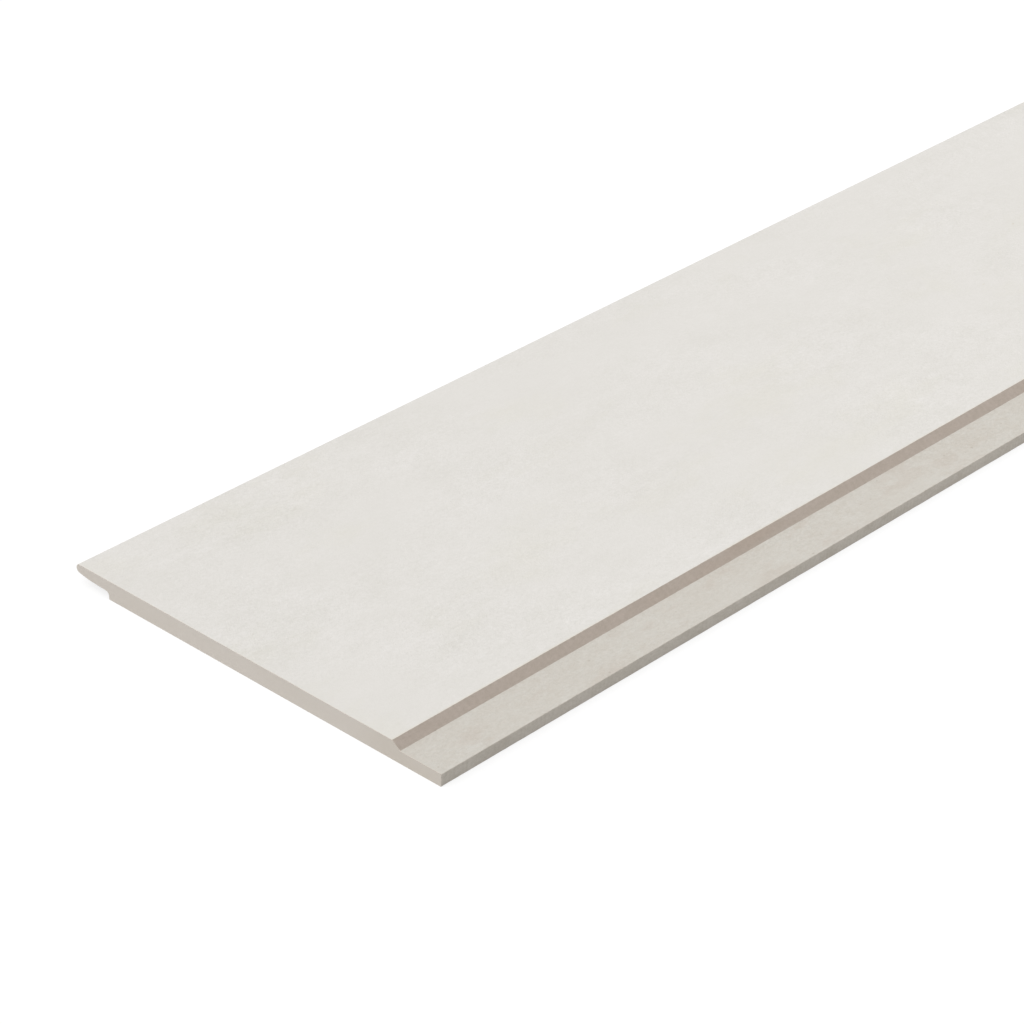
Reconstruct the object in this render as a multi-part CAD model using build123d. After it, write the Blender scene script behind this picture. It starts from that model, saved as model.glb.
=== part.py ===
from build123d import *
import math
import os

# Fibre cement siding plank: one board of constant section, lying on its back with the face up.
# One long edge is a thinner tongue below a bevel, the other is a lip over an open rebate,
# so that the lip of one board laps over the tongue of the next.
# Length runs along X, width along Y from the tongue tip to the nose of the lip, and Z is up.

# Board
PLANK_LENGTH = 3000.0
PLANK_WIDTH = 330.0
PLANK_THICKNESS = 14.0

# Tongue, from its tip to the foot of the bevel, and the bevel's level run up to the face
TONGUE_WIDTH = 34.6
TONGUE_THICKNESS = 9.2
BEVEL_WIDTH = 6.8

# How far the back arris of the tongue tip stands back from its upper arris
TIP_SETBACK = 0.6

# Lip, from the rebate wall to the nose tip, over a rebate that is this deep at the wall
LIP_LENGTH = 31.2
REBATE_DEPTH = 5.4

# Underside of the lip: it rises gently from the wall, and more steeply over the last stretch
UNDERSIDE_ANGLE = 2.5
RELIEF_LENGTH = 11.5
RELIEF_ANGLE = 9.8

# Roundings of the section's corners
NOSE_FACE_RADIUS = 2.9
NOSE_BACK_RADIUS = 3.2
RELIEF_RADIUS = 40.0
COVE_RADIUS = 3.0
BEVEL_FOOT_RADIUS = 0.6
ARRIS_RADIUS = 0.3

# Share of a side that its two roundings may take up
ROUNDED_SHARE = 0.98


def rise(run, angle):
    """Height gained over a level run by a slope of this many degrees."""
    return run * math.tan(math.radians(angle))


def section_corners():
    """Corners of the section as (y, z, radius), once round from the back of the tongue tip."""
    tongue_tip = -PLANK_WIDTH / 2
    nose_tip = PLANK_WIDTH / 2
    bevel_foot = tongue_tip + TONGUE_WIDTH
    bevel_top = bevel_foot + BEVEL_WIDTH
    rebate_wall = nose_tip - LIP_LENGTH
    relief_start = nose_tip - RELIEF_LENGTH
    relief_height = REBATE_DEPTH + rise(relief_start - rebate_wall, UNDERSIDE_ANGLE)
    nose_back_height = relief_height + rise(RELIEF_LENGTH, RELIEF_ANGLE)
    return [
        (tongue_tip + TIP_SETBACK, 0.0, ARRIS_RADIUS),
        (rebate_wall, 0.0, ARRIS_RADIUS),
        (rebate_wall, REBATE_DEPTH, COVE_RADIUS),
        (relief_start, relief_height, RELIEF_RADIUS),
        (nose_tip, nose_back_height, NOSE_BACK_RADIUS),
        (nose_tip, PLANK_THICKNESS, NOSE_FACE_RADIUS),
        (bevel_top, PLANK_THICKNESS, ARRIS_RADIUS),
        (bevel_foot, TONGUE_THICKNESS, BEVEL_FOOT_RADIUS),
        (tongue_tip, TONGUE_THICKNESS, ARRIS_RADIUS),
    ]


def fitted_radii(corners):
    """Radii of the corners, made smaller where a side is too short for both of its roundings."""
    points = [Vector(y, z) for y, z, _ in corners]
    radii = [radius for _, _, radius in corners]
    sides = [points[(i + 1) % len(points)] - points[i] for i in range(len(points))]
    half_turns = [math.radians(sides[i - 1].get_angle(sides[i])) / 2 for i in range(len(points))]
    cut_backs = [radius * math.tan(half_turn) for radius, half_turn in zip(radii, half_turns)]
    scales = [1.0] * len(points)
    for i, side in enumerate(sides):
        following = (i + 1) % len(points)
        room = ROUNDED_SHARE * side.length / (cut_backs[i] + cut_backs[following])
        scales[i] = min(scales[i], room)
        scales[following] = min(scales[following], room)
    return [radius * scale for radius, scale in zip(radii, scales)]


def plank_section():
    """The board's section, drawn across its length."""
    corners = section_corners()
    outline = FilletPolyline(
        [(y, z) for y, z, _ in corners],
        radius=fitted_radii(corners),
        close=True,
    )
    return Plane.YZ * make_face(outline)


def siding_plank():
    """The whole board, cut square at both ends."""
    return extrude(plank_section(), amount=PLANK_LENGTH / 2, both=True)


os.makedirs("parts", exist_ok=True)
export_step(siding_plank(), "parts/siding_plank.step")
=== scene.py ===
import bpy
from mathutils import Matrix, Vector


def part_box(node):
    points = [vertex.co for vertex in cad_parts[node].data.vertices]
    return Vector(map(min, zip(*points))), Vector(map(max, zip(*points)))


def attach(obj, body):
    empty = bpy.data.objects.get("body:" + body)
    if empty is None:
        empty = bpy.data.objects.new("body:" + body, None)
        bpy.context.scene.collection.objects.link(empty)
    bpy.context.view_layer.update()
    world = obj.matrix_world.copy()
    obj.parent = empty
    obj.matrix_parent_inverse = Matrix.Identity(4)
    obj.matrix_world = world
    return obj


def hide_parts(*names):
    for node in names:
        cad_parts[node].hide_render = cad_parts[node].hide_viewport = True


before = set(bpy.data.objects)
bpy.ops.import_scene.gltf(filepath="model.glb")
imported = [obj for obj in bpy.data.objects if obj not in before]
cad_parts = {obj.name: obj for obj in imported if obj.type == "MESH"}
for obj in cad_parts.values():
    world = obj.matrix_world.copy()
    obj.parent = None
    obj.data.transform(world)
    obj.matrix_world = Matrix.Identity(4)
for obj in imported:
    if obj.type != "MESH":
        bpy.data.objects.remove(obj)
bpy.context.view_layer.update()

import math
from collections import namedtuple

import bmesh
import bpy
from bpy.props import FloatProperty, FloatVectorProperty, PointerProperty
from mathutils import Vector

bl_info = {
    "name": "Fibre Cement Siding Plank",
    "version": (1, 0, 0),
    "blender": (4, 5, 0),
    "location": "View3D > Sidebar > Siding",
    "description": "Models a lapped fibre cement siding plank and the studio it lies in",
    "category": "Add Mesh",
}

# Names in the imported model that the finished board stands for
PLANK_NODE = "siding_plank"
PLANK_BODY = "root"

# Metres within which a vertex counts as lying on a line of the section
NEAR = 1e-5

# Flat facets in each rounding
ARRIS_FACETS = 3
COVE_FACETS = 7
NOSE_FACETS = 7
RELIEF_FACETS = 4
# Profile that makes a rounding part of a circle
ROUND_PROFILE = 0.5

# Cuts made in every lengthwise edge, pass by pass, so that the arrises can waver
ROW_CUTS = (9, 9, 9)
# Spacing of the cuts across the board at its sawn ends, and the longest edge there that is left uncut
END_CUT_SPACING = 0.003
LONGEST_PLAIN_EDGE = 0.005
# Room round the middle of a side of the section within which an edge belongs to it
SIDE_REACH = 0.002
# Octaves of the clouds by which the arrises waver, and the tone at which an arris stays in its place:
# with the middle one it wanders both ways, and with black only into the board
WAVER_OCTAVES = 2
BOTH_WAYS = 0.5
INWARDS = 0.0
# Least upward part of the normal on the face's side of a sawn end
UPWARD = 0.1

# Bends of the section that are flatter than this are no corners
STRAIGHT_ANGLE = math.radians(1)
# Bends that are sharper than this stay sharp when the roundings are shaded smooth
SMOOTH_ANGLE = math.radians(40)
# How much more a large flat counts than a small facet in the normals that they share
FLAT_WEIGHT = 100

# Dark cement is warmer than light cement: swings of red, green and blue in grains, clouds and the tongue
GRAIN_LEAN = (0.94, 0.96, 1.1)
CLOUD_LEAN = (0.93, 0.92, 1.15)
TONGUE_LEAN = (0.72, 1.0, 1.28)
# Size of the grains, and of the zones in which the grit is stronger or weaker
GRAIN_SIZE = (0.0036, 0.0024, 0.0024)
ZONE_SIZE = (0.2, 0.1, 0.1)
# Tone about which grit swings, and the range that it mostly keeps to in grains and in zones
MID_TONE = 0.5
GRAIN_RANGE = (0.3, 0.7)
ZONE_RANGE = (0.35, 0.65)
# Swings of the grains and ripples in milled cement, as shares of the swing of its clouds
GRAIN_SHARE = 1.3
RIPPLE_SHARE = 0.15
# Line along the tongue round which the sawn end is warmer, and how far that reaches
TONGUE_LINE = (0.0, -0.14, 0.005)
TONGUE_REACH = 0.055
# Places of the colours among the sockets of a Mix node
MIX_FACTOR, MIX_FIRST, MIX_SECOND = 0, 6, 7
MIX_RESULT = 2

# Light of the floor where the camera sees it, just over white
FLOOR_WHITE = 1.05
# Where the key lamp is drawn: a sun lamp lights the same from any place
KEY_PLACE = (0, 0, 3)
# Millimetres across the camera's sensor, and metres that it sees
SENSOR_WIDTH = 36
VIEW_DEPTH = 100

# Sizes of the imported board, to the millimetre
BOARD_LENGTH, BOARD_WIDTH, BOARD_THICKNESS = (
    round(high - low, 3) for low, high in zip(*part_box(PLANK_NODE))
)


def metres(name, description, default):
    """A length that a user can change."""
    return FloatProperty(
        name=name, description=description, default=default, min=0.0, precision=4, unit="LENGTH"
    )


def degrees(name, description, default):
    """An angle that a user can change, given here in degrees."""
    return FloatProperty(
        name=name, description=description, default=math.radians(default), subtype="ANGLE"
    )


def colour(name, description, default):
    """A surface colour that a user can change."""
    return FloatVectorProperty(
        name=name, description=description, default=default, size=3, min=0.0, max=1.0, subtype="COLOR"
    )


def amount(name, description, default):
    """A plain number that a user can change."""
    return FloatProperty(name=name, description=description, default=default, min=0.0, precision=3)


class PlankSizes(bpy.types.PropertyGroup):
    """Sizes of the board, its lapped edges and the wear of its arrises."""

    length: metres("Length", "Sawn end to sawn end", BOARD_LENGTH)
    width: metres("Width", "Tongue tip to nose tip", BOARD_WIDTH)
    thickness: metres("Thickness", "Back to face", BOARD_THICKNESS)
    tongue_width: metres("Tongue width", "Tongue tip to the foot of the bevel", 0.0346)
    tongue_thickness: metres("Tongue thickness", "Back to the top of the tongue", 0.0092)
    bevel_width: metres("Bevel width", "Level run of the bevel up to the face", 0.0068)
    tip_setback: metres("Tip setback", "Back arris of the tongue tip behind its upper arris", 0.0006)
    lip_length: metres("Lip length", "Rebate wall to nose tip", 0.0312)
    rebate_depth: metres("Rebate depth", "Back to the underside of the lip at the wall", 0.0054)
    underside_angle: degrees("Underside angle", "Rise of the lip's underside from the wall", 2.5)
    relief_length: metres("Relief length", "Steeper stretch of the underside at the nose", 0.0115)
    relief_angle: degrees("Relief angle", "Rise of the underside along the relief", 9.8)
    nose_face_radius: metres("Nose face radius", "Rounding between the face and the nose", 0.0029)
    nose_back_radius: metres("Nose back radius", "Rounding between the nose and the underside", 0.0032)
    relief_radius: metres("Relief radius", "Rounding where the relief starts", 0.04)
    cove_radius: metres("Cove radius", "Rounding in the root of the rebate", 0.003)
    foot_radius: metres("Foot radius", "Rounding at the foot of the bevel", 0.0006)
    arris_radius: metres("Arris radius", "Easing of the long arrises", 0.0003)
    end_arris: metres("End arris", "Easing of the sawn ends", 0.0001)
    long_waver: metres("Long waver", "How far the long arrises wander", 0.00025)
    end_waver: metres("End waver", "How far the saw broke into the face at the ends", 0.0004)
    long_waver_length: metres("Long waver length", "Length of one wander along an arris", 0.007)
    end_waver_length: metres("End waver length", "Length of the waves along the sawn ends", 0.016)


class PlankFinish(bpy.types.PropertyGroup):
    """Colours of the prime coat and of the raw cement, with painted shade in the bevel's and a little
    painted light in the edge's and end's.
    """

    face: colour("Face", "Prime coat", (0.765, 0.742, 0.704))
    tongue: colour("Tongue", "Raw cement of the tongue", (0.635, 0.603, 0.548))
    # Painted shade: the bevel's colour is darker than the same cement on the tongue and edge, standing in
    # for deeper shade than the lamps give it; its pinker brown is the cement's own.
    bevel: colour("Bevel", "Milled cement of the bevel", (0.467, 0.403, 0.35))
    # Painted light: the edge and end are a little lighter than the same cement on the tongue, standing in
    # for light that the floor sends back too weakly; the rest is the cement's own colour.
    edge: colour("Edge", "Milled cement of the long edges", (0.662, 0.614, 0.546))
    end: colour("End", "Sawn cement of the ends", (0.656, 0.607, 0.552))
    back: colour("Back", "Sealed back", (0.60, 0.565, 0.515))


class StudioSettings(bpy.types.PropertyGroup):
    """Light, floor and camera."""

    sky_level: amount("Sky level", "Even light from all round", 0.462)
    key_level: amount("Key level", "Light that the key lamp adds on a level surface", 0.48)
    key_bearing: degrees("Key bearing", "Turn of the key lamp from +X towards +Y", 156.0)
    key_height: degrees("Key height", "Height of the key lamp above the floor", 46.0)
    key_spread: degrees("Key spread", "Apparent size of the key lamp, which softens its shadows", 90.0)
    fill_level: amount("Fill level", "Light that the fill lamp adds on a surface facing it", 0.23)
    fill_beside: metres("Fill beside", "Fill lamp to the tongue tip, across the width", 2.0)
    fill_along: metres("Fill along", "Fill lamp past the middle of the board, along the length", 0.5)
    fill_height: metres("Fill height", "Fill lamp above the floor", 1.2)
    fill_size: metres("Fill size", "Side of the fill lamp", 1.5)
    floor_size: metres("Floor size", "Side of the floor", 40.0)
    floor_gap: metres("Floor gap", "Gap that keeps the floor off the back of the board", 0.0001)
    floor_tone: amount("Floor tone", "Share of light that the floor sends back", 0.42)
    floor_lift: amount("Floor lift", "Share of the floor's tone that the camera sees as plain white", 0.3)
    lens: amount("Lens", "Focal length in millimetres on a 36 mm sensor", 122.004)
    camera_behind: metres("Camera behind", "Camera to the sawn end, along the length", 1.1722)
    camera_aside: metres("Camera aside", "Camera to the tongue tip, across the width", 1.1843)
    camera_height: metres("Camera height", "Camera above the floor", 1.1741)
    camera_turn: degrees("Camera turn", "Turn of the view from +Y towards +X", 46.119)
    camera_pitch: degrees("Camera pitch", "Downward tilt of the view", 30.638)


Corner = namedtuple("Corner", "y z radius facets")


def section_corners(sizes):
    """The sharp corners of the section by name, each with its rounding."""
    tongue_tip = -sizes.width / 2
    nose_tip = sizes.width / 2
    foot = tongue_tip + sizes.tongue_width
    wall = nose_tip - sizes.lip_length
    relief = nose_tip - sizes.relief_length
    relief_height = sizes.rebate_depth + (relief - wall) * math.tan(sizes.underside_angle)
    nose_height = relief_height + sizes.relief_length * math.tan(sizes.relief_angle)
    return {
        "tongue_back": Corner(tongue_tip + sizes.tip_setback, 0.0, sizes.arris_radius, ARRIS_FACETS),
        "wall_back": Corner(wall, 0.0, sizes.arris_radius, ARRIS_FACETS),
        "cove": Corner(wall, sizes.rebate_depth, sizes.cove_radius, COVE_FACETS),
        "relief": Corner(relief, relief_height, sizes.relief_radius, RELIEF_FACETS),
        "nose_back": Corner(nose_tip, nose_height, sizes.nose_back_radius, NOSE_FACETS),
        "nose_face": Corner(nose_tip, sizes.thickness, sizes.nose_face_radius, NOSE_FACETS),
        "bevel_top": Corner(foot + sizes.bevel_width, sizes.thickness, sizes.arris_radius, ARRIS_FACETS),
        "bevel_foot": Corner(foot, sizes.tongue_thickness, sizes.foot_radius, ARRIS_FACETS),
        "tongue_face": Corner(tongue_tip, sizes.tongue_thickness, sizes.arris_radius, ARRIS_FACETS),
    }


def select(kind, test):
    """Selects the edited mesh's vertices, edges or faces that pass a test, and nothing else."""
    bpy.ops.mesh.select_mode(type=kind)
    bpy.ops.mesh.select_all(action="DESELECT")
    mesh = bmesh.from_edit_mesh(bpy.context.edit_object.data)
    for item in {"VERT": mesh.verts, "EDGE": mesh.edges, "FACE": mesh.faces}[kind]:
        item.select_set(test(item))
    mesh.select_flush_mode()
    bmesh.update_edit_mesh(bpy.context.edit_object.data)


def is_at(vertex, y, z):
    """True for a vertex on the section's point y, z."""
    return abs(vertex.co.y - y) < NEAR and abs(vertex.co.z - z) < NEAR


def move_point(y, z, corner):
    """Moves the section's point y, z to a corner's place."""
    select("VERT", lambda vertex: is_at(vertex, y, z))
    bpy.ops.transform.translate(value=(0, corner.y - y, corner.z - z))


def add_end_plane(sizes):
    """Adds an upright plane of the board's width and thickness on its near end."""
    bpy.ops.object.select_all(action="DESELECT")
    bpy.ops.mesh.primitive_plane_add(
        size=1,
        location=(-sizes.length / 2, 0, sizes.thickness / 2),
        rotation=(math.pi / 2, 0, math.pi / 2),
    )
    plank = bpy.context.object
    plank.name = plank.data.name = "lapped_plank"
    plank.scale = (sizes.width, sizes.thickness, 1)
    bpy.ops.object.transform_apply()
    return plank


def cut_section(sizes, corners):
    """Cuts the plane to the lapped section, with its corners still sharp."""
    wall = corners["cove"].y
    for y in (corners["bevel_foot"].y, corners["bevel_top"].y, wall, corners["relief"].y):
        bpy.ops.mesh.select_all(action="SELECT")
        bpy.ops.mesh.bisect(plane_co=(0, y, 0), plane_no=(0, 1, 0))
    select("FACE", lambda face: face.calc_center_median().y > wall)
    bpy.ops.mesh.bisect(plane_co=(0, 0, sizes.rebate_depth), plane_no=(0, 0, 1))

    def is_rebate(face):
        middle = face.calc_center_median()
        return middle.y > wall and middle.z < sizes.rebate_depth

    select("FACE", is_rebate)
    bpy.ops.mesh.delete(type="FACE")
    for name in ("relief", "nose_back"):
        move_point(corners[name].y, sizes.rebate_depth, corners[name])
    for name in ("bevel_foot", "tongue_face"):
        move_point(corners[name].y, sizes.thickness, corners[name])
    move_point(-sizes.width / 2, 0.0, corners["tongue_back"])
    bpy.ops.mesh.select_all(action="SELECT")
    bpy.ops.mesh.dissolve_limited(angle_limit=STRAIGHT_ANGLE)


def round_section(corners):
    """Rounds every corner of the section and returns how far each rounding reaches from its corner."""
    reaches = {}
    for name, corner in corners.items():
        mesh = bmesh.from_edit_mesh(bpy.context.edit_object.data)
        vertex = next(vertex for vertex in mesh.verts if is_at(vertex, corner.y, corner.z))
        reaches[name] = corner.radius * math.tan(vertex.calc_edge_angle() / 2)
        select("VERT", lambda vertex: is_at(vertex, corner.y, corner.z))
        bpy.ops.mesh.bevel(
            affect="VERTICES",
            offset_type="ABSOLUTE",
            offset=reaches[name],
            segments=corner.facets,
            profile=ROUND_PROFILE,
        )
    return reaches


def is_lengthwise(edge):
    """True for an edge that runs along the board."""
    run = edge.verts[1].co - edge.verts[0].co
    return abs(run.x) > NEAR and abs(run.y) < NEAR and abs(run.z) < NEAR


def extrude_board(sizes):
    """Extrudes the section to the board's length and eases the arrises of both ends."""
    bpy.ops.mesh.select_all(action="SELECT")
    bpy.ops.mesh.extrude_region_move(TRANSFORM_OT_translate={"value": (sizes.length, 0, 0)})
    bpy.ops.mesh.select_all(action="SELECT")
    bpy.ops.mesh.normals_make_consistent(inside=False)
    select("EDGE", lambda edge: not is_lengthwise(edge))
    bpy.ops.mesh.bevel(
        affect="EDGES",
        offset_type="OFFSET",
        offset=sizes.end_arris,
        segments=ARRIS_FACETS,
        profile=ROUND_PROFILE,
    )


def cut_rows():
    """Divides the board along its length."""
    for cuts in ROW_CUTS:
        select("EDGE", is_lengthwise)
        bpy.ops.mesh.subdivide(number_cuts=cuts)


def cut_ends(sizes, corners):
    """Divides the long sides of both sawn ends, so that their arrises can waver."""
    start = sizes.length / 2 - sizes.end_arris - NEAR
    outline = [*corners.values(), corners["tongue_back"]]
    for first, second in zip(outline, outline[1:]):
        middle_y = (first.y + second.y) / 2
        middle_z = (first.z + second.z) / 2

        def is_on_side(edge):
            middle = (edge.verts[0].co + edge.verts[1].co) / 2
            at_end = all(abs(vertex.co.x) > start for vertex in edge.verts)
            at_side = math.hypot(middle.y - middle_y, middle.z - middle_z) < SIDE_REACH
            return at_end and at_side and edge.calc_length() > LONGEST_PLAIN_EDGE

        length = math.hypot(second.y - first.y, second.z - first.z)
        if length > LONGEST_PLAIN_EDGE:
            select("EDGE", is_on_side)
            bpy.ops.mesh.subdivide(number_cuts=round(length / END_CUT_SPACING), ngon=True)


def waver_clouds(name, length):
    """A cloudy pattern with waves of the given length."""
    texture = bpy.data.textures.new(name, "CLOUDS")
    texture.noise_scale = length
    texture.noise_depth = WAVER_OCTAVES
    return texture


def waver(plank, name, vertices, texture, direction, strength, centre):
    """Lets an arris wander: moves a group of vertices along one axis by a cloudy pattern."""
    group = plank.vertex_groups.new(name=name)
    group.add(vertices, 1.0, "REPLACE")
    modifier = plank.modifiers.new(name, "DISPLACE")
    modifier.vertex_group = name
    modifier.texture = texture
    modifier.texture_coords = "LOCAL"
    modifier.direction = direction
    modifier.strength = strength
    modifier.mid_level = centre
    bpy.ops.object.modifier_apply(modifier=name)
    plank.vertex_groups.remove(plank.vertex_groups[name])


def wear_arrises(plank, sizes, corners, reaches):
    """Lets the long arrises wander a little, and breaks the face's edge at the sawn ends."""
    long_clouds = waver_clouds("long_waver", sizes.long_waver_length)
    end_clouds = waver_clouds("end_waver", sizes.end_waver_length)

    def along(name):
        corner = corners[name]
        reach = reaches[name] + NEAR
        return [
            vertex.index
            for vertex in plank.data.vertices
            if math.hypot(vertex.co.y - corner.y, vertex.co.z - corner.z) < reach
        ]

    def across(sign):
        end = sizes.length / 2 - NEAR
        start = sizes.length / 2 - sizes.end_arris - NEAR
        return [
            vertex.index
            for vertex in plank.data.vertices
            if start < sign * vertex.co.x < end and vertex.normal.z > UPWARD
        ]

    for name, centre in (("bevel_top", BOTH_WAYS), ("tongue_face", INWARDS), ("tongue_back", INWARDS)):
        waver(plank, name, along(name), long_clouds, "Y", sizes.long_waver, centre)
    for name, sign in (("near_end", -1), ("far_end", 1)):
        waver(plank, name, across(sign), end_clouds, "X", -sign * sizes.end_waver, INWARDS)


def face_finish(face, sizes, corners):
    """Name of the finish that a face of the board gets, from its place and direction."""
    middle = face.calc_center_median()
    if abs(middle.x) > sizes.length / 2 - sizes.end_arris:
        return "end"
    if middle.y > corners["bevel_top"].y and middle.z > sizes.thickness - sizes.nose_face_radius:
        return "face"
    if middle.y < corners["bevel_foot"].y and middle.z > sizes.tongue_thickness - NEAR:
        return "tongue"
    if middle.y < corners["bevel_top"].y and middle.z > sizes.tongue_thickness:
        return "bevel"
    if middle.z < NEAR:
        return "back"
    return "edge"


def paint_faces(plank, sizes, corners, materials):
    """Gives each face of the board the material of its finish."""
    for index, (finish, material) in enumerate(materials.items()):
        plank.data.materials.append(material)
        select("FACE", lambda face: face_finish(face, sizes, corners) == finish)
        plank.active_material_index = index
        bpy.ops.object.material_slot_assign()


def smooth_roundings(plank):
    """Shades the roundings smooth and keeps the flats flat."""
    bpy.ops.object.shade_smooth_by_angle(angle=SMOOTH_ANGLE)
    modifier = plank.modifiers.new("flats", "WEIGHTED_NORMAL")
    modifier.keep_sharp = True
    modifier.weight = FLAT_WEIGHT
    bpy.ops.object.modifier_apply(modifier="flats")


def add_node(tree, kind, inputs=None, **settings):
    """Adds a node with its settings, and fills its inputs with values or other nodes' outputs."""
    node = tree.nodes.new(kind)
    for name, value in settings.items():
        setattr(node, name, value)
    for key, value in (inputs or {}).items():
        if isinstance(value, bpy.types.NodeSocket):
            tree.links.new(value, node.inputs[key])
        else:
            node.inputs[key].default_value = value
    return node


def maths(tree, operation, first, second=0.0):
    """Output of a Math node."""
    return add_node(tree, "ShaderNodeMath", {0: first, 1: second}, operation=operation).outputs[0]


def remap(tree, value, low, high, new_low, new_high):
    """Output of a clamped Map Range node."""
    inputs = {"Value": value, "From Min": low, "From Max": high, "To Min": new_low, "To Max": new_high}
    return add_node(tree, "ShaderNodeMapRange", inputs).outputs["Result"]


def blend(tree, factor, first, second, mode="MIX"):
    """Output of a colour Mix node."""
    inputs = {MIX_FACTOR: factor, MIX_FIRST: first, MIX_SECOND: second}
    node = add_node(tree, "ShaderNodeMix", inputs, data_type="RGBA", blend_type=mode)
    return node.outputs[MIX_RESULT]


def new_group(name, inputs, outputs):
    """A shader node group with its sockets, as its tree, its inputs' outputs and its outputs' inputs."""
    tree = bpy.data.node_groups.new(name, "ShaderNodeTree")
    for label, kind, default in inputs:
        socket = tree.interface.new_socket(label, in_out="INPUT", socket_type=kind)
        if default is not None:
            socket.default_value = default
    for label in outputs:
        tree.interface.new_socket(label, in_out="OUTPUT", socket_type="NodeSocketFloat")
    return tree, add_node(tree, "NodeGroupInput").outputs, add_node(tree, "NodeGroupOutput").inputs


def divided(tree, vector, sizes):
    """Output of a Vector Math node that counts a place in units of a size."""
    node = add_node(tree, "ShaderNodeVectorMath", {0: vector, 1: sizes}, operation="DIVIDE")
    return node.outputs["Vector"]


def grit_group():
    """Cement grit: even unrest from broad clouds down to single grains."""
    tree, given, result = new_group(
        "Cement grit",
        [
            ("Vector", "NodeSocketVector", None),
            ("Cloud", "NodeSocketVector", (0.06, 0.04, 0.04)),
            ("Octaves", "NodeSocketFloat", 6.0),
            ("Strength", "NodeSocketFloat", 1.0),
        ],
        ["Tone"],
    )
    noise = add_node(
        tree,
        "ShaderNodeTexNoise",
        {
            "Vector": divided(tree, given["Vector"], given["Cloud"]),
            "Scale": 1.0,
            "Detail": given["Octaves"],
            "Roughness": 1.0,
        },
    )
    swing = maths(tree, "SUBTRACT", noise.outputs["Fac"], MID_TONE)
    scaled = maths(tree, "MULTIPLY", swing, given["Strength"])
    tree.links.new(maths(tree, "ADD", scaled, MID_TONE), result["Tone"])
    return tree


def stain_group():
    """Ragged stains, stretched along the length as the sheet was rolled."""
    tree, given, result = new_group(
        "Ragged stain",
        [
            ("Vector", "NodeSocketVector", None),
            ("Patch", "NodeSocketVector", (0.04, 0.02, 0.02)),
            ("Cover", "NodeSocketFloat", 0.6),
            ("Softness", "NodeSocketFloat", 0.14),
        ],
        ["Mask"],
    )
    noise = add_node(
        tree,
        "ShaderNodeTexNoise",
        {
            "Vector": divided(tree, given["Vector"], given["Patch"]),
            "Scale": 1.0,
            "Detail": 6.0,
            "Roughness": 0.62,
        },
    )
    full = maths(tree, "ADD", given["Cover"], given["Softness"])
    mask = remap(tree, noise.outputs["Fac"], given["Cover"], full, 0.0, 1.0)
    tree.links.new(mask, result["Mask"])
    return tree


def speck_group():
    """Sparse specks: fibre ends, pits and grit."""
    tree, given, result = new_group(
        "Specks",
        [
            ("Vector", "NodeSocketVector", None),
            ("Spacing", "NodeSocketVector", (0.01, 0.01, 0.01)),
            ("Size", "NodeSocketFloat", 0.08),
            ("Share", "NodeSocketFloat", 0.3),
        ],
        ["Mask"],
    )
    cells = add_node(
        tree,
        "ShaderNodeTexVoronoi",
        {"Vector": divided(tree, given["Vector"], given["Spacing"]), "Scale": 1.0},
    )
    chance = add_node(tree, "ShaderNodeSeparateColor", {"Color": cells.outputs["Color"]})
    chosen = maths(tree, "LESS_THAN", chance.outputs["Red"], given["Share"])
    size = maths(tree, "MULTIPLY", given["Size"], chance.outputs["Green"])
    inside = maths(tree, "SUBTRACT", 1.0, maths(tree, "DIVIDE", cells.outputs["Distance"], size))
    soft_rim = 0.6
    mask = maths(tree, "MULTIPLY", chosen, remap(tree, inside, 0.0, soft_rim, 0.0, 1.0))
    tree.links.new(mask, result["Mask"])
    return tree


def ripple_group():
    """Even ripples that a cutter leaves across its path, drifting a little and fading in and out."""
    tree, given, result = new_group(
        "Cutter ripples",
        [
            ("Vector", "NodeSocketVector", None),
            ("Pitch", "NodeSocketFloat", 0.005),
        ],
        ["Height"],
    )
    place = add_node(tree, "ShaderNodeSeparateXYZ", {"Vector": given["Vector"]})
    drift = add_node(tree, "ShaderNodeTexNoise", {"Vector": given["Vector"], "Scale": 20.0, "Detail": 2.0})
    drift_turns = 2.0
    faded_out, faded_in = 0.4, 0.6
    turns = maths(tree, "DIVIDE", place.outputs["X"], given["Pitch"])
    wandered = maths(tree, "ADD", turns, maths(tree, "MULTIPLY", drift.outputs["Fac"], drift_turns))
    wave = maths(tree, "SINE", maths(tree, "MULTIPLY", wandered, math.tau))
    fade = remap(tree, drift.outputs["Fac"], faded_out, faded_in, 0.0, 1.0)
    height = maths(tree, "MULTIPLY", wave, fade)
    tree.links.new(remap(tree, height, -1.0, 1.0, 0.0, 1.0), result["Height"])
    return tree


def band_group():
    """Band along a lengthwise line of the section, full on the line and fading out at its reach."""
    tree, given, result = new_group(
        "Lengthwise band",
        [
            ("Vector", "NodeSocketVector", None),
            ("Line", "NodeSocketVector", (0.0, 0.0, 0.0)),
            ("Reach", "NodeSocketFloat", 0.001),
        ],
        ["Mask"],
    )
    level = add_node(
        tree, "ShaderNodeVectorMath", {0: given["Vector"], 1: (0.0, 1.0, 1.0)}, operation="MULTIPLY"
    )
    gap = add_node(
        tree, "ShaderNodeVectorMath", {0: level.outputs["Vector"], 1: given["Line"]}, operation="DISTANCE"
    )
    share = maths(tree, "DIVIDE", gap.outputs["Value"], given["Reach"])
    full_share = 0.4
    tree.links.new(remap(tree, share, full_share, 1.0, 1.0, 0.0), result["Mask"])
    return tree


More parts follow.
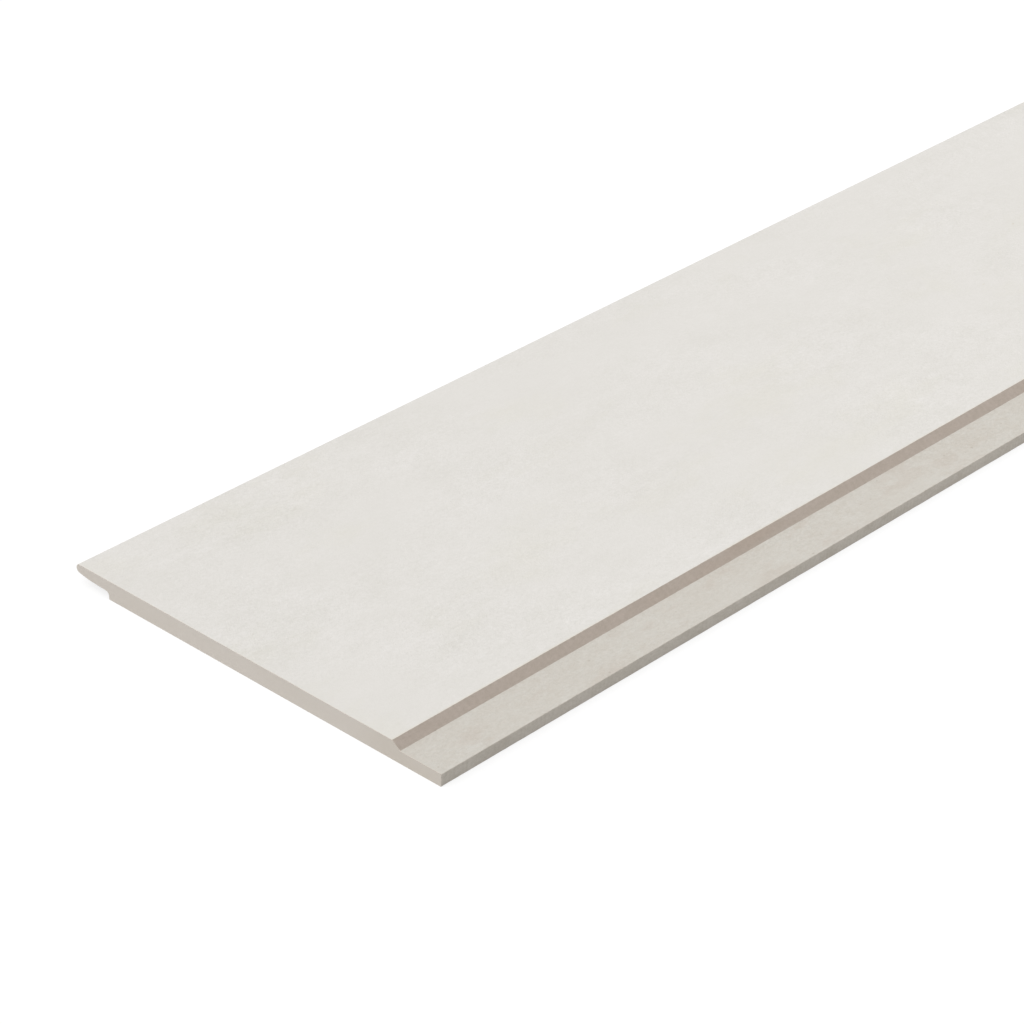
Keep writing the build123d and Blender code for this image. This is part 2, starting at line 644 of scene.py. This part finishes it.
class Finish:
    """A material with a Principled shader, and the colour that its effects have given it so far."""

    groups = {}

    def __init__(self, name, rgb, specular):
        self.material = bpy.data.materials.new(name)
        self.material.use_nodes = True
        self.tree = self.material.node_tree
        self.shader = self.tree.nodes["Principled BSDF"]
        self.shader.inputs["Specular IOR Level"].default_value = specular
        self.place = add_node(self.tree, "ShaderNodeTexCoord").outputs["Object"]
        self.coat = (*rgb, 1.0)

    def group(self, make, **inputs):
        """Output of a shared group, built once, placed here with its own values."""
        if make not in self.groups:
            Finish.groups[make] = make()
        node = add_node(
            self.tree, "ShaderNodeGroup", {"Vector": self.place, **inputs}, node_tree=self.groups[make]
        )
        return node.outputs[0]

    def zones(self, low, high):
        """How strong the grit is from zone to zone of the sheet."""
        broad = self.group(grit_group, Cloud=ZONE_SIZE, Octaves=1.0)
        return remap(self.tree, broad, *ZONE_RANGE, low, high)

    def shade(self, tone, swing, lean):
        """Makes the colour lighter and darker by a tone that swings about the middle, and leans its hue."""
        dark = [1.0 - swing * part for part in lean]
        light = [1.0 + swing * part for part in lean]
        tint = blend(self.tree, tone, (*dark, 1.0), (*light, 1.0))
        self.coat = blend(self.tree, 1.0, self.coat, tint, "MULTIPLY")

    def stain(self, mask, tint):
        """Multiplies the colour by a tint where the mask is set."""
        self.coat = blend(self.tree, mask, self.coat, (*tint, 1.0), "MULTIPLY")

    def bump(self, height, depth, below=None):
        """Adds relief of the given depth in metres on top of another one, and returns its normal."""
        inputs = {"Height": height, "Distance": depth}
        if below is not None:
            inputs["Normal"] = below
        return add_node(self.tree, "ShaderNodeBump", inputs).outputs["Normal"]

    def roughness(self, tone, low, high):
        """How rough the surface is, from its dark to its light grains."""
        return remap(self.tree, tone, *GRAIN_RANGE, low, high)

    def finished(self, roughness, normal):
        """Feeds the shader and returns the material."""
        for socket, output in (("Base Color", self.coat), ("Roughness", roughness), ("Normal", normal)):
            self.tree.links.new(output, self.shader.inputs[socket])
        return self.material


def primed_face(rgb, arris):
    """Matt off-white prime coat, with faint warm stains and a few specks, worn thin along the bevel."""
    finish = Finish("primed_face", rgb, specular=0.3)
    zones = finish.zones(0.5, 1.5)
    grit = finish.group(grit_group, Cloud=(0.07, 0.045, 0.045), Octaves=6.0, Strength=zones)
    grains = finish.group(grit_group, Cloud=GRAIN_SIZE, Octaves=2.0, Strength=zones)
    stains = finish.group(stain_group, Patch=(0.11, 0.06, 0.06), Cover=0.54)
    pits = finish.group(speck_group, Spacing=(0.018, 0.014, 0.014), Size=0.1, Share=0.35)
    spots = finish.group(speck_group, Spacing=(0.08, 0.06, 0.06), Size=0.03, Share=0.5)
    rim = finish.group(band_group, Line=(0.0, arris.y, arris.z), Reach=0.0016)
    worn = finish.group(stain_group, Patch=(0.12, 0.05, 0.05), Cover=0.35, Softness=0.25)
    finish.shade(grit, 0.095, CLOUD_LEAN)
    finish.shade(grains, 0.068, GRAIN_LEAN)
    finish.stain(stains, (0.986, 0.986, 0.966))
    finish.stain(pits, (0.96, 0.955, 0.94))
    finish.stain(spots, (0.9, 0.86, 0.79))
    finish.stain(maths(finish.tree, "MULTIPLY", rim, worn), (0.992, 0.978, 0.935))
    roughness = finish.roughness(grains, 0.62, 0.78)
    return finish.finished(roughness, finish.bump(grains, 0.0002, finish.bump(grit, 0.0003)))


def raw_tongue(rgb):
    """Unpainted cement of the tongue: mottled, with brown patches and dark specks."""
    finish = Finish("raw_tongue", rgb, specular=0.2)
    zones = finish.zones(0.7, 1.3)
    grit = finish.group(grit_group, Cloud=(0.03, 0.018, 0.018), Octaves=5.0, Strength=zones)
    grains = finish.group(grit_group, Cloud=GRAIN_SIZE, Octaves=2.0, Strength=zones)
    stains = finish.group(stain_group, Patch=(0.05, 0.022, 0.022), Cover=0.54, Softness=0.07)
    pits = finish.group(speck_group, Spacing=(0.008, 0.006, 0.006), Size=0.2, Share=0.3)
    spots = finish.group(speck_group, Spacing=(0.03, 0.02, 0.02), Size=0.08, Share=0.4)
    finish.shade(grit, 0.16, TONGUE_LEAN)
    finish.shade(grains, 0.13, GRAIN_LEAN)
    finish.stain(stains, (0.966, 0.948, 0.938))
    finish.stain(pits, (0.86, 0.835, 0.815))
    finish.stain(spots, (0.74, 0.67, 0.62))
    roughness = finish.roughness(grains, 0.8, 0.95)
    return finish.finished(roughness, finish.bump(grains, 0.0003, finish.bump(grit, 0.00034)))


def milled_cement(name, rgb, pitch, swing, patch, tint):
    """Cement cut by a cutter head, with its ripples across the cut and patches of darker cement."""
    finish = Finish(name, rgb, specular=0.2)
    grit = finish.group(grit_group, Cloud=(0.04, 0.02, 0.02), Octaves=5.0)
    grains = finish.group(grit_group, Cloud=GRAIN_SIZE, Octaves=2.0)
    ripples = finish.group(ripple_group, Pitch=pitch)
    stains = finish.group(stain_group, Patch=patch, Cover=0.55)
    finish.shade(grit, swing, CLOUD_LEAN)
    finish.shade(grains, swing * GRAIN_SHARE, GRAIN_LEAN)
    finish.shade(ripples, swing * RIPPLE_SHARE, GRAIN_LEAN)
    finish.stain(stains, tint)
    roughness = finish.roughness(grains, 0.82, 0.95)
    return finish.finished(roughness, finish.bump(grains, 0.0002, finish.bump(ripples, 0.00002)))


def sawn_end_and_painted_light(rgb):
    """Sawn cement: close grained and even, with faint clouds, and warmer towards the tongue."""
    # The colour given holds a little painted light as well as the sawn cement's own colour.
    finish = Finish("sawn_end_and_painted_light", rgb, specular=0.2)
    zones = finish.zones(0.5, 1.5)
    grit = finish.group(grit_group, Cloud=(0.06, 0.06, 0.03), Octaves=6.0, Strength=zones)
    stains = finish.group(stain_group, Patch=(0.08, 0.08, 0.04), Cover=0.48)
    tongue = finish.group(band_group, Line=TONGUE_LINE, Reach=TONGUE_REACH)
    finish.shade(grit, 0.07, GRAIN_LEAN)
    finish.stain(stains, (0.988, 0.986, 0.98))
    finish.stain(tongue, (0.953, 0.946, 0.928))
    roughness = finish.roughness(grit, 0.85, 0.95)
    return finish.finished(roughness, finish.bump(grit, 0.0003))


def sealed_back(rgb):
    """Back of the sheet: raw cement under a thin sealer, with broad roller clouds."""
    finish = Finish("sealed_back", rgb, specular=0.25)
    grit = finish.group(grit_group, Cloud=(0.1, 0.04, 0.04), Octaves=6.0)
    grains = finish.group(grit_group, Cloud=(0.004, 0.003, 0.003), Octaves=2.0)
    stains = finish.group(stain_group, Patch=(0.12, 0.04, 0.04), Cover=0.52)
    finish.shade(grit, 0.25, CLOUD_LEAN)
    finish.shade(grains, 0.12, GRAIN_LEAN)
    finish.stain(stains, (0.97, 0.95, 0.92))
    roughness = finish.roughness(grains, 0.75, 0.9)
    return finish.finished(roughness, finish.bump(grains, 0.0004, finish.bump(grit, 0.0006)))


def plank_materials(colours, corners):
    """The board's materials by the finish that each one gives."""
    return {
        "face": primed_face(colours.face, corners["bevel_top"]),
        "tongue": raw_tongue(colours.tongue),
        # The bevel's colour holds painted shade as well as its milled cement's own colour.
        "bevel": milled_cement(
            "milled_bevel_and_painted_shade",
            colours.bevel,
            pitch=0.0055,
            swing=0.125,
            patch=(0.09, 0.03, 0.03),
            tint=(0.974, 0.953, 0.937),
        ),
        # The edge's colour holds a little painted light as well as its milled cement's own colour.
        "edge": milled_cement(
            "milled_edge_and_painted_light",
            colours.edge,
            pitch=0.0035,
            swing=0.15,
            patch=(0.025, 0.01, 0.01),
            tint=(0.93, 0.92, 0.905),
        ),
        "end": sawn_end_and_painted_light(colours.end),
        "back": sealed_back(colours.back),
    }


class SIDING_OT_plank(bpy.types.Operator):
    """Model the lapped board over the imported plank"""

    bl_idname = "siding.plank"
    bl_label = "Lapped Plank"

    def execute(self, context):
        sizes = context.scene.plank_sizes
        corners = section_corners(sizes)
        plank = add_end_plane(sizes)
        bpy.ops.object.mode_set(mode="EDIT")
        cut_section(sizes, corners)
        reaches = round_section(corners)
        extrude_board(sizes)
        cut_rows()
        cut_ends(sizes, corners)
        paint_faces(plank, sizes, corners, plank_materials(context.scene.plank_finish, corners))
        bpy.ops.object.mode_set(mode="OBJECT")
        wear_arrises(plank, sizes, corners, reaches)
        smooth_roundings(plank)
        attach(plank, PLANK_BODY)
        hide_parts(PLANK_NODE)
        return {"FINISHED"}


def shown_rays(tree):
    """Output that is 1 for rays that show what they meet, and 0 for rays that carry its light on."""
    path = add_node(tree, "ShaderNodeLightPath")
    mirrored = maths(tree, "MAXIMUM", path.outputs["Is Glossy Ray"], path.outputs["Is Transmission Ray"])
    return maths(tree, "MAXIMUM", path.outputs["Is Camera Ray"], mirrored)


def studio_floor_material(tone, lift):
    """Pale floor that looks white where it is lit, and keeps a soft shadow."""
    material = bpy.data.materials.new("studio_floor")
    material.use_nodes = True
    tree = material.node_tree
    shown = shown_rays(tree)
    lit = remap(tree, shown, 0.0, 1.0, tone, tone * (1.0 - lift))
    plain = maths(tree, "MULTIPLY", shown, FLOOR_WHITE - tone * (1.0 - lift))
    shader = tree.nodes["Principled BSDF"]
    shader.inputs["Roughness"].default_value = 1.0
    shader.inputs["Specular IOR Level"].default_value = 0.0
    shader.inputs["Emission Color"].default_value = (1.0, 1.0, 1.0, 1.0)
    tree.links.new(lit, shader.inputs["Base Color"])
    tree.links.new(plain, shader.inputs["Emission Strength"])
    return material


def add_floor(studio):
    """Lays the studio floor under the board."""
    bpy.ops.object.select_all(action="DESELECT")
    bpy.ops.mesh.primitive_plane_add(size=studio.floor_size, location=(0, 0, -studio.floor_gap))
    floor = bpy.context.object
    floor.name = floor.data.name = "studio_floor"
    floor.data.materials.append(studio_floor_material(studio.floor_tone, studio.floor_lift))


def light_sky(scene, studio):
    """Even light all round, white where the camera sees it."""
    world = bpy.data.worlds.new("studio_sky")
    world.use_nodes = True
    tree = world.node_tree
    sky = tree.nodes["Background"]
    sky.inputs["Color"].default_value = (1.0, 1.0, 1.0, 1.0)
    tree.links.new(
        remap(tree, shown_rays(tree), 0.0, 1.0, studio.sky_level, 1.0), sky.inputs["Strength"]
    )
    scene.world = world


def add_key_lamp(studio):
    """Adds the broad key lamp, at the strength that gives its level on a level surface."""
    bpy.ops.object.select_all(action="DESELECT")
    bpy.ops.object.light_add(
        type="SUN",
        location=KEY_PLACE,
        rotation=(0, math.pi / 2 - studio.key_height, studio.key_bearing),
    )
    key = bpy.context.object
    key.name = key.data.name = "key_lamp"
    key.data.angle = studio.key_spread
    key.data.energy = studio.key_level * math.pi / math.sin(studio.key_height)


def add_fill_lamp(sizes, studio):
    """Adds the low fill lamp in front of the tongue, turned towards the middle of the board."""
    place = Vector((studio.fill_along, -sizes.width / 2 - studio.fill_beside, studio.fill_height))
    bpy.ops.object.select_all(action="DESELECT")
    bpy.ops.object.light_add(
        type="AREA", location=place, rotation=(-place).to_track_quat("-Z", "Y").to_euler()
    )
    fill = bpy.context.object
    fill.name = fill.data.name = "fill_lamp"
    fill.visible_camera = False
    fill.data.size = studio.fill_size
    fill.data.energy = studio.fill_level * math.pi**2 * place.length_squared


def add_camera(scene, sizes, studio):
    """Adds the camera beyond the sawn end, looking down along the tongue's side."""
    bpy.ops.object.select_all(action="DESELECT")
    bpy.ops.object.camera_add(
        location=(
            -sizes.length / 2 - studio.camera_behind,
            -sizes.width / 2 - studio.camera_aside,
            studio.camera_height,
        ),
        rotation=(math.pi / 2 - studio.camera_pitch, 0, -studio.camera_turn),
    )
    camera = bpy.context.object
    camera.name = camera.data.name = "studio_camera"
    camera.data.lens = studio.lens
    camera.data.sensor_width = SENSOR_WIDTH
    camera.data.clip_end = VIEW_DEPTH
    scene.camera = camera


class SIDING_OT_stage(bpy.types.Operator):
    """Lay the floor, light it and place the camera"""

    bl_idname = "siding.stage"
    bl_label = "Studio"

    def execute(self, context):
        scene = context.scene
        add_floor(scene.plank_studio)
        light_sky(scene, scene.plank_studio)
        add_key_lamp(scene.plank_studio)
        add_fill_lamp(scene.plank_sizes, scene.plank_studio)
        add_camera(scene, scene.plank_sizes, scene.plank_studio)
        scene.view_settings.view_transform = "Standard"
        return {"FINISHED"}


class SIDING_PT_panel(bpy.types.Panel):
    """Sizes, finishes and studio of the siding plank"""

    bl_idname = "SIDING_PT_panel"
    bl_label = "Siding Plank"
    bl_space_type = "VIEW_3D"
    bl_region_type = "UI"
    bl_category = "Siding"

    def draw(self, context):
        layout = self.layout
        for operator in (SIDING_OT_plank, SIDING_OT_stage):
            layout.operator(operator.bl_idname)
        for settings in (context.scene.plank_sizes, context.scene.plank_finish, context.scene.plank_studio):
            box = layout.box()
            for name in settings.__annotations__:
                box.prop(settings, name)


CLASSES = (PlankSizes, PlankFinish, StudioSettings, SIDING_OT_plank, SIDING_OT_stage, SIDING_PT_panel)


def register():
    for cls in CLASSES:
        bpy.utils.register_class(cls)
    bpy.types.Scene.plank_sizes = PointerProperty(type=PlankSizes)
    bpy.types.Scene.plank_finish = PointerProperty(type=PlankFinish)
    bpy.types.Scene.plank_studio = PointerProperty(type=StudioSettings)


def unregister():
    del bpy.types.Scene.plank_studio
    del bpy.types.Scene.plank_finish
    del bpy.types.Scene.plank_sizes
    for cls in reversed(CLASSES):
        bpy.utils.unregister_class(cls)


def main():
    register()
    bpy.ops.siding.plank()
    bpy.ops.siding.stage()


if __name__ == "__main__":
    main()
